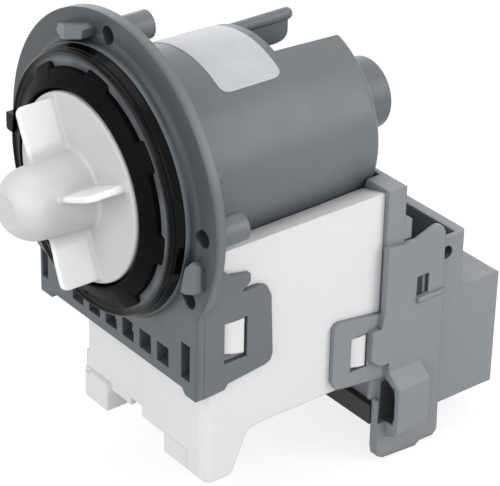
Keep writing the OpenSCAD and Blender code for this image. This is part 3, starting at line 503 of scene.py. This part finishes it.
def rounded(points, radii, steps=5):
    """Closed outline with each corner rounded by its radius."""
    out = []
    n = len(points)
    for i in range(n):
        p, a, b = Vector(points[i]), Vector(points[i - 1]), Vector(points[(i + 1) % n])
        r = radii[i]
        u, v = (a - p), (b - p)
        half = u.angle(v) / 2
        if r <= 0 or abs(half - math.pi / 2) < 0.02:
            out.append(tuple(p))
            continue
        reach = min(r / math.tan(half), 0.45 * u.length, 0.45 * v.length)
        r = reach * math.tan(half)
        mid = p + (u.normalized() + v.normalized()).normalized() * (r / math.sin(half))
        s, e = p + u.normalized() * reach - mid, p + v.normalized() * reach - mid
        turn = s.angle_signed(e)
        for k in range(steps + 1):
            cos, sin = math.cos(-turn * k / steps), math.sin(-turn * k / steps)
            out.append((mid.x + s.x * cos - s.y * sin, mid.y + s.x * sin + s.y * cos))
    return out


# Pieces that stand for a node

def seal():
    """Rubber seal: a lip that runs in under the collar ring's teeth, a grooved wall and one lug."""
    front = -RING_FRONT
    profile = (
        (LIP_R, RING_REAR, 0), (COLLAR_R - 1.7, RING_REAR, 0), (COLLAR_R - 1.7, -COLLAR_H, 0),
        (COLLAR_R - 0.25, -COLLAR_H, 0.25), (COLLAR_R - 0.5, -COLLAR_H - 0.9, 0.3),
        (COLLAR_R - 0.75, front + 2.1, 0.15), (COLLAR_R - 1.0, front + 1.8, 0.15),
        (COLLAR_R - 0.8, front + 1.5, 0.2), (RING_R + 2.6, front + 0.7, 0.4),
        (RING_R + 2.0, front + 0.05, 0.3), (RING_R + 1.4, front + 0.15, 0.2),
        (RING_R + 1.1, front + 0.45, 0.2), (RING_R + 0.6, front + 0.4, 0.2), (LIP_R, front + 0.75, 0))
    bm = bmesh.new()
    lathe(bm, rounded([p[:2] for p in profile], [p[2] for p in profile]), 240)
    bmesh.ops.remove_doubles(bm, verts=bm.verts, dist=MERGE * MM)
    bmesh.ops.dissolve_degenerate(bm, edges=bm.edges, dist=MERGE * MM)
    inner = RING_R + 0.12
    lug = rounded([(-inner, LUG_LOW), (-LUG_R, LUG_LOW), (-LUG_R, LUG_HIGH),
                   (-math.sqrt(inner ** 2 - LUG_HIGH ** 2), LUG_HIGH)], [0, 0.9, 0.5, 0])
    prism(bm, *([bm.verts.new((x * MM, y * MM, z * MM)) for x, z in lug] for y in (LUG_FRONT, LUG_REAR)))
    piece("seal_lip", finished(bm, "seal_lip", 35), "housing", "seal_rubber", "seal_ring")


def collar():
    """Toothed collar ring, laid out in steps of 0.75 degrees with notches between the teeth."""
    steps = 480
    front = -RING_FRONT
    profile = (
        (30, RING_REAR), (LIP_R - 0.1, RING_REAR), (LIP_R - 0.1, front + 0.85), (RING_R, front + 0.85),
        (RING_R, front + 0.35), (RING_R - 0.35, front), (NOTCH_R + 0.3, front - 0.8),
        (COVER_R - 0.7, front - 2.7), (COVER_R - 1.1, front - 2.85), (COVER_R - 1.6, front - 2.7),
        (COVER_R - 1.6, front), (COVER_R, front), (COVER_R, -0.8), (30, -0.8))
    tooth, tooth_front, tooth_root = (3, 4, 5), 5, 6
    pitch = 360 / TEETH
    bm = bmesh.new()
    rings = []
    for i in range(steps):
        deg = 360 * i / steps
        off = (deg + TOOTH_TURN + pitch / 2) % pitch - pitch / 2
        cut = min(1, max(0, (abs(off) - TOOTH_HALF) / TOOTH_FLANK))
        points = []
        for j, (r, y) in enumerate(profile):
            if j in tooth:
                r -= cut * (r - NOTCH_R - 0.02)
            if j == tooth_front:
                y += cut * 0.3
            if j == tooth_root:
                r -= cut * 0.25
            points.append((r, y))
        rings.append(around(bm, points, math.radians(deg)))
    skin(bm, rings)
    mesh = finished(bm, "toothed_collar", 35)
    obj = piece("toothed_collar", mesh, "housing", "black_plastic", "collar_ring")
    mod = obj.modifiers.new("ease", "BEVEL")
    mod.width = 0.12 * MM
    mod.segments = 2
    mod.limit_method = "ANGLE"
    mod.angle_limit = math.radians(40)
    settle(obj)
    smooth(obj.data, 35)
    dress(obj, "black_plastic")


def impeller():
    """Hub, disc and four blades as one moulding with soft roots and rounded rims."""
    hub = (
        (0, -5), (9, -5), (HUB_R + 0.05, -8), (HUB_R, -DISC_FRONT), (HUB_R - 0.45, -17),
        (HUB_R - 0.9, HUB_TIP + 8), (HUB_R - 1.1, HUB_TIP + 6.4), (HUB_R - 1.5, HUB_TIP + 5.2),
        (HUB_R - 2.1, HUB_TIP + 4), (HUB_R - 3.1, HUB_TIP + 2.5), (HUB_R - 4.3, HUB_TIP + 1.3),
        (HUB_R - 5.4, HUB_TIP + 0.55), (HUB_R - 6, HUB_TIP + 0.25), (HUB_R - 6.6, HUB_TIP + 0.55),
        (0, HUB_TIP + 0.35))
    disc = (
        (0, DISC_T - DISC_FRONT), (DISC_R - 0.1, DISC_T - DISC_FRONT), (DISC_R, -DISC_FRONT + 0.6),
        (DISC_R - 0.3, -DISC_FRONT), (0, -DISC_FRONT))
    bm = bmesh.new()
    for profile in (hub, disc):
        lathe(bm, profile, 72, closed=False)
    tip = -DISC_FRONT - BLADE_H
    outline = rounded([(BLADE_INNER, BLADE_REAR), (BLADE_INNER, tip + 0.9), (BLADE_R - 0.1, tip + 0.5),
                       (BLADE_R, BLADE_REAR)], [0, 0, BLADE_CORNER, 0], 6)
    for b in range(BLADES):
        turn = Matrix.Rotation(-math.radians(BLADE_TURN + 360 / BLADES * b), 3, "Y")
        sides = []
        for s in (-1, 1):
            row = []
            for r, y in outline:
                half = (BLADE_T / 2 + BLADE_TAPER * (y - tip) / BLADE_H) * s
                row.append(bm.verts.new(turn @ Vector((r * MM, y * MM, half * MM))))
            sides.append(row)
        prism(bm, *sides)
    bmesh.ops.remove_doubles(bm, verts=bm.verts, dist=MERGE * MM)
    mesh = finished(bm, "impeller_moulding")
    obj = piece("impeller_moulding", mesh, "impeller_body", "impeller_white", "impeller", "hub_plug")
    remesh = obj.modifiers.new("skin", "REMESH")
    remesh.mode = "VOXEL"
    remesh.voxel_size = 0.36 * MM
    soft = obj.modifiers.new("roots", "SMOOTH")
    soft.factor = 0.5
    soft.iterations = 9
    settle(obj)
    obj.data.polygons.foreach_set("use_smooth", [True] * len(obj.data.polygons))
    dress(obj, "impeller_white")


def label():
    """Blank film laid round the tapered barrel, with round corners and a thin rounded rim."""
    front, rear, low, high, corner = 22.8, 42.4, 54, 140, 2.6
    barrel_r, taper = 30.2, 0.7 / 45
    sunk, rim_lift, lift, rim_width = -0.02, 0.12, 0.24, 0.5
    columns, rows = 120, 16
    arc = 29.75 * math.radians(high - low)
    bm = bmesh.new()
    grids = []
    for top in (False, True):
        grid = []
        for i in range(columns + 1):
            u = i / columns
            a = math.radians(low + (high - low) * u)
            s = min(u, 1 - u) * arc
            inset = corner - math.sqrt(max(0, corner ** 2 - (corner - s) ** 2)) if s < corner else 0
            points = []
            for j in range(rows + 1):
                v = j / rows
                y = front + inset + (rear - front - 2 * inset) * v
                rim = min(1, min(s, min(v, 1 - v) * (rear - front)) / rim_width)
                up = rim_lift + (lift - rim_lift) * rim ** 0.5 if top else sunk
                points.append((barrel_r - taper * y + up, y))
            grid.append(around(bm, points, a))
        grids.append(grid)
    inner, outer = grids
    for i in range(columns):
        for j in range(rows):
            bm.faces.new((outer[i][j], outer[i + 1][j], outer[i + 1][j + 1], outer[i][j + 1]))
            bm.faces.new((inner[i][j], inner[i][j + 1], inner[i + 1][j + 1], inner[i + 1][j]))
    border = [(i, 0) for i in range(columns)] + [(columns, j) for j in range(rows)]
    border += [(i, rows) for i in range(columns, 0, -1)] + [(0, j) for j in range(rows, 0, -1)]
    for (i, j), (k, m) in zip(border, border[1:] + border[:1]):
        bm.faces.new((outer[i][j], outer[k][m], inner[k][m], inner[i][j]))
    piece("blank_label", finished(bm, "blank_label", 60), "housing", "label_film", "label")


def winding(name, leg_x, node):
    """Coil as layers of round wire laid turn by turn."""
    half_x, half_y = LEG_X + WIRE_BUILD, LEG_Y + WIRE_BUILD
    in_x, in_y = LEG_X + 0.05, LEG_Y + 0.05
    outline = rounded([(-half_x, -half_y), (half_x, -half_y), (half_x, half_y), (-half_x, half_y)],
                      [WIRE_BUILD] * 4, 6)
    inner = rounded([(-in_x, -in_y), (in_x, -in_y), (in_x, in_y), (-in_x, in_y)], [0.2] * 4, 6)
    wire = ((0.0, 0.3), (0.18, 0.1), (0.5, 0.0), (0.82, 0.1))
    bm = bmesh.new()

    def ring(points, z):
        return [bm.verts.new(((leg_x + x) * MM, (STACK_MID + y) * MM, z * MM)) for x, y in points]

    rows = [ring(inner, WIRE_LOW)]
    for t in range(int((WIRE_HIGH - WIRE_LOW) / WIRE_PITCH)):
        for u, dip in wire:
            inward = dip + 0.12 * math.sin(2.1 * t)
            points = [Vector(p) - Vector(p).normalized() * inward for p in outline]
            rows.append(ring(points, WIRE_LOW + t * WIRE_PITCH + u * WIRE_PITCH))
    rows.append(ring(inner, WIRE_HIGH))
    skin(bm, rows)
    piece(name, finished(bm, name, 50), "housing", "copper_wire", node)


# Camera and stage

def camera():
    a, e, roll = (math.radians(v) for v in (CAM_AZ, CAM_EL, CAM_ROLL))
    back = Vector((math.sin(a) * math.cos(e), -math.cos(a) * math.cos(e), math.sin(e)))
    right = Vector((math.cos(a), math.sin(a), 0))
    up = back.cross(right)
    rolled_right = math.cos(roll) * right + math.sin(roll) * up
    rolled_up = -math.sin(roll) * right + math.cos(roll) * up
    turn = Matrix((rolled_right, rolled_up, back)).transposed()
    data = bpy.data.cameras.new("camera")
    data.lens = CAM_LENS
    data.sensor_width = CAM_SENSOR
    data.clip_start = CAM_NEAR
    cam = bpy.data.objects.new("camera", data)
    cam.matrix_world = Matrix.Translation(-(turn @ CAM_OFFSET)) @ turn.to_4x4()
    bpy.context.scene.collection.objects.link(cam)
    bpy.context.scene.camera = cam


def new_node(tree, kind, **values):
    """Node with some of its inputs set."""
    node = tree.nodes.new(kind)
    for key, v in values.items():
        node.inputs[key.replace("_", " ")].default_value = v
    return node


def seen_white(tree):
    """One for the rays that show the background: straight, in a reflection or through a clear piece."""
    path = tree.nodes.new("ShaderNodeLightPath")
    total = path.outputs["Is Camera Ray"]
    for name in ("Is Glossy Ray", "Is Transmission Ray"):
        most = tree.nodes.new("ShaderNodeMath")
        most.operation = "MAXIMUM"
        tree.links.new(total, most.inputs[0])
        tree.links.new(path.outputs[name], most.inputs[1])
        total = most.outputs[0]
    return total


def floor():
    """Plain floor that shows white but for the object's shadow, and lights the object as pale grey."""
    z = cad_box[0][2]
    mesh = bpy.data.meshes.new("floor")
    mesh.from_pydata([(sx * FLOOR_HALF, sy * FLOOR_HALF, z) for sx, sy in ((-1, -1), (1, -1), (1, 1), (-1, 1))],
                     [], [(0, 1, 2, 3)])
    obj = bpy.data.objects.new("floor", mesh)
    bpy.context.scene.collection.objects.link(obj)
    mat = bpy.data.materials.new("floor_white")
    mat.use_nodes = True
    tree = mat.node_tree
    tree.nodes.clear()
    plain = new_node(tree, "ShaderNodeBsdfDiffuse", Color=(0.5, 0.5, 0.5, 1))
    shade = new_node(tree, "ShaderNodeBsdfDiffuse", Color=(0.3, 0.3, 0.3, 1))
    glow = new_node(tree, "ShaderNodeEmission")
    coord = new_node(tree, "ShaderNodeTexCoord")
    away = new_node(tree, "ShaderNodeVectorMath")
    away.operation = "LENGTH"
    rise = new_node(tree, "ShaderNodeMapRange",
                    From_Min=GLOW_NEAR, From_Max=GLOW_FAR, To_Min=GLOW_LOW, To_Max=GLOW_FULL)
    both = new_node(tree, "ShaderNodeAddShader")
    pick = new_node(tree, "ShaderNodeMixShader")
    out = new_node(tree, "ShaderNodeOutputMaterial")
    for a, b in ((coord.outputs["Object"], away.inputs[0]), (away.outputs["Value"], rise.inputs["Value"]),
                 (rise.outputs["Result"], glow.inputs["Strength"]), (shade.outputs[0], both.inputs[0]),
                 (glow.outputs[0], both.inputs[1]), (seen_white(tree), pick.inputs[0]),
                 (plain.outputs[0], pick.inputs[1]), (both.outputs[0], pick.inputs[2]),
                 (pick.outputs[0], out.inputs["Surface"])):
        tree.links.new(a, b)
    mesh.materials.append(mat)


def studio():
    """World that lights softly and shows white."""
    world = bpy.data.worlds.new("studio")
    bpy.context.scene.world = world
    world.use_nodes = True
    tree = world.node_tree
    soft = tree.nodes["Background"]
    soft.inputs["Color"].default_value = (0.96, 0.98, 1.0, 1)
    soft.inputs["Strength"].default_value = SOFT_WORLD
    white = new_node(tree, "ShaderNodeBackground", Color=(1, 1, 1, 1), Strength=1.0)
    mix = new_node(tree, "ShaderNodeMixShader")
    for a, b in ((seen_white(tree), mix.inputs[0]), (soft.outputs[0], mix.inputs[1]),
                 (white.outputs[0], mix.inputs[2]),
                 (mix.outputs[0], tree.nodes["World Output"].inputs["Surface"])):
        tree.links.new(a, b)


def lamp(name, direction, distance, width, height, watts):
    data = bpy.data.lights.new(name, "AREA")
    data.shape = "RECTANGLE"
    data.size = width
    data.size_y = height
    data.energy = watts
    obj = bpy.data.objects.new(name, data)
    d = Vector(direction).normalized()
    obj.location = LAMP_AIM + d * distance
    obj.rotation_euler = d.to_track_quat("Z", "Y").to_euler()
    bpy.context.scene.collection.objects.link(obj)


camera()
seal()
collar()
impeller()
label()
winding("winding_left", -6, "coil_left")
winding("winding_right", 21, "coil_right")
floor()
studio()
for values in LAMPS:
    lamp(*values)

bpy.context.scene.view_settings.view_transform = "Standard"
